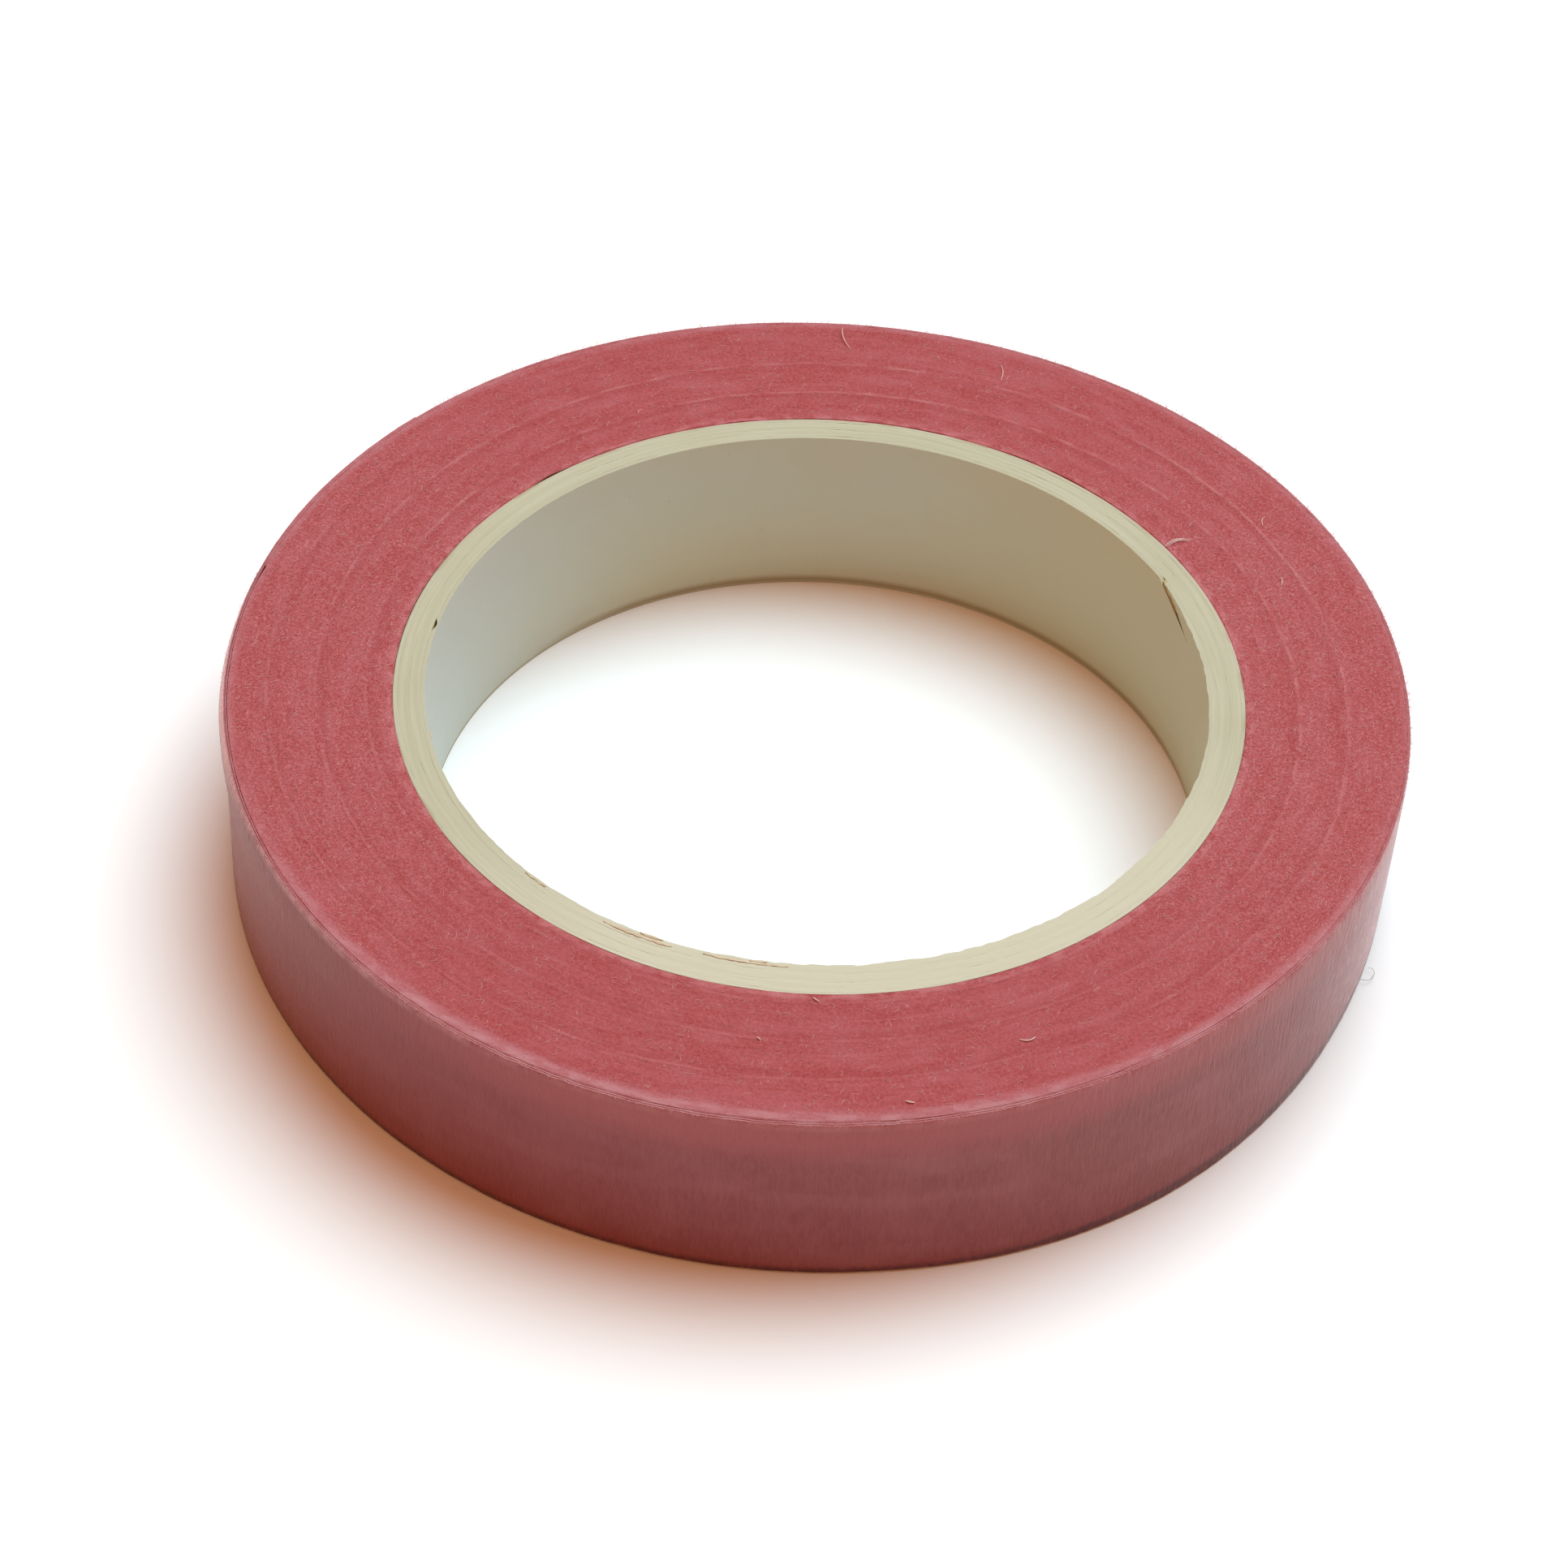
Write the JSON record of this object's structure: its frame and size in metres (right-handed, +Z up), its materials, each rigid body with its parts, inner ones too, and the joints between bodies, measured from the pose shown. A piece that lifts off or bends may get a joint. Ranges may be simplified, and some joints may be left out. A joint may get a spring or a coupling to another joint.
{
  "type": "masking tape roll",
  "caption": "Roll of rose crepe masking tape on a spiral-wound paperboard core, with a free end that peels back in a curl.",
  "frame": {"origin": "centre of the roll's lower face, on the roll's own axis", "axes": "+Z up along the roll's axis; the camera of the source picture stood on the -Y side, with +X to its right"},
  "size_m": [0.114, 0.1138, 0.0195],
  "materials": {
    "paperboard": "matt cream board, cut edge with fine ply lines",
    "liner_paper": "smooth matt grey-buff liner paper",
    "crepe_paper": "rose crepe paper, satin on the outer wall, matt fibrous on the slit faces",
    "crepe_paper_free_end": "rose crepe paper with a glossy adhesive side"
  },
  "bodies": {
    "tape_roll": {"core_liner_ply": "liner_paper", "core_board_ply_inner": "paperboard", "core_board_ply_outer": "paperboard", "core_outer_ply": "paperboard", "tape_first_turn": "crepe_paper", "tape_packed_turns": "crepe_paper", "tape_outer_turn_2": "crepe_paper", "tape_outer_turn_1": "crepe_paper"},
    "free_end_1": {"tape_tail_1": "crepe_paper_free_end"},
    "free_end_2": {"tape_tail_2": "crepe_paper_free_end"},
    "free_end_3": {"tape_tail_3": "crepe_paper_free_end"},
    "free_end_4": {"tape_tail_4": "crepe_paper_free_end"},
    "free_end_5": {"tape_tail_5": "crepe_paper_free_end"},
    "free_end_6": {"tape_tail_6": "crepe_paper_free_end"}
  },
  "joints": [
    {"name": "free_end_peel", "type": "hinge", "parent": "tape_roll", "child": "free_end_1", "pos_m": [-0.05537, 0.01422, 0.00975], "axis": [0, 0, 1], "range_deg": [0, 22]},
    {"name": "free_end_curl_2", "type": "hinge", "parent": "free_end_1", "child": "free_end_2", "pos_m": [-0.05406, 0.01861, 0.00975], "axis": [0, 0, 1], "range_deg": [0, 22]},
    {"name": "free_end_curl_3", "type": "hinge", "parent": "free_end_2", "child": "free_end_3", "pos_m": [-0.05239, 0.02289, 0.00975], "axis": [0, 0, 1], "range_deg": [0, 22]},
    {"name": "free_end_curl_4", "type": "hinge", "parent": "free_end_3", "child": "free_end_4", "pos_m": [-0.0504, 0.02702, 0.00975], "axis": [0, 0, 1], "range_deg": [0, 22]},
    {"name": "free_end_curl_5", "type": "hinge", "parent": "free_end_4", "child": "free_end_5", "pos_m": [-0.04807, 0.03098, 0.00975], "axis": [0, 0, 1], "range_deg": [0, 22]},
    {"name": "free_end_curl_6", "type": "hinge", "parent": "free_end_5", "child": "free_end_6", "pos_m": [-0.04544, 0.03474, 0.00975], "axis": [0, 0, 1], "range_deg": [0, 22]}
  ],
  "couplings": [
    {"joint": "free_end_curl_2", "follows": "free_end_peel", "ratio": 1},
    {"joint": "free_end_curl_3", "follows": "free_end_peel", "ratio": 1},
    {"joint": "free_end_curl_4", "follows": "free_end_peel", "ratio": 1},
    {"joint": "free_end_curl_5", "follows": "free_end_peel", "ratio": 1},
    {"joint": "free_end_curl_6", "follows": "free_end_peel", "ratio": 1}
  ]
}
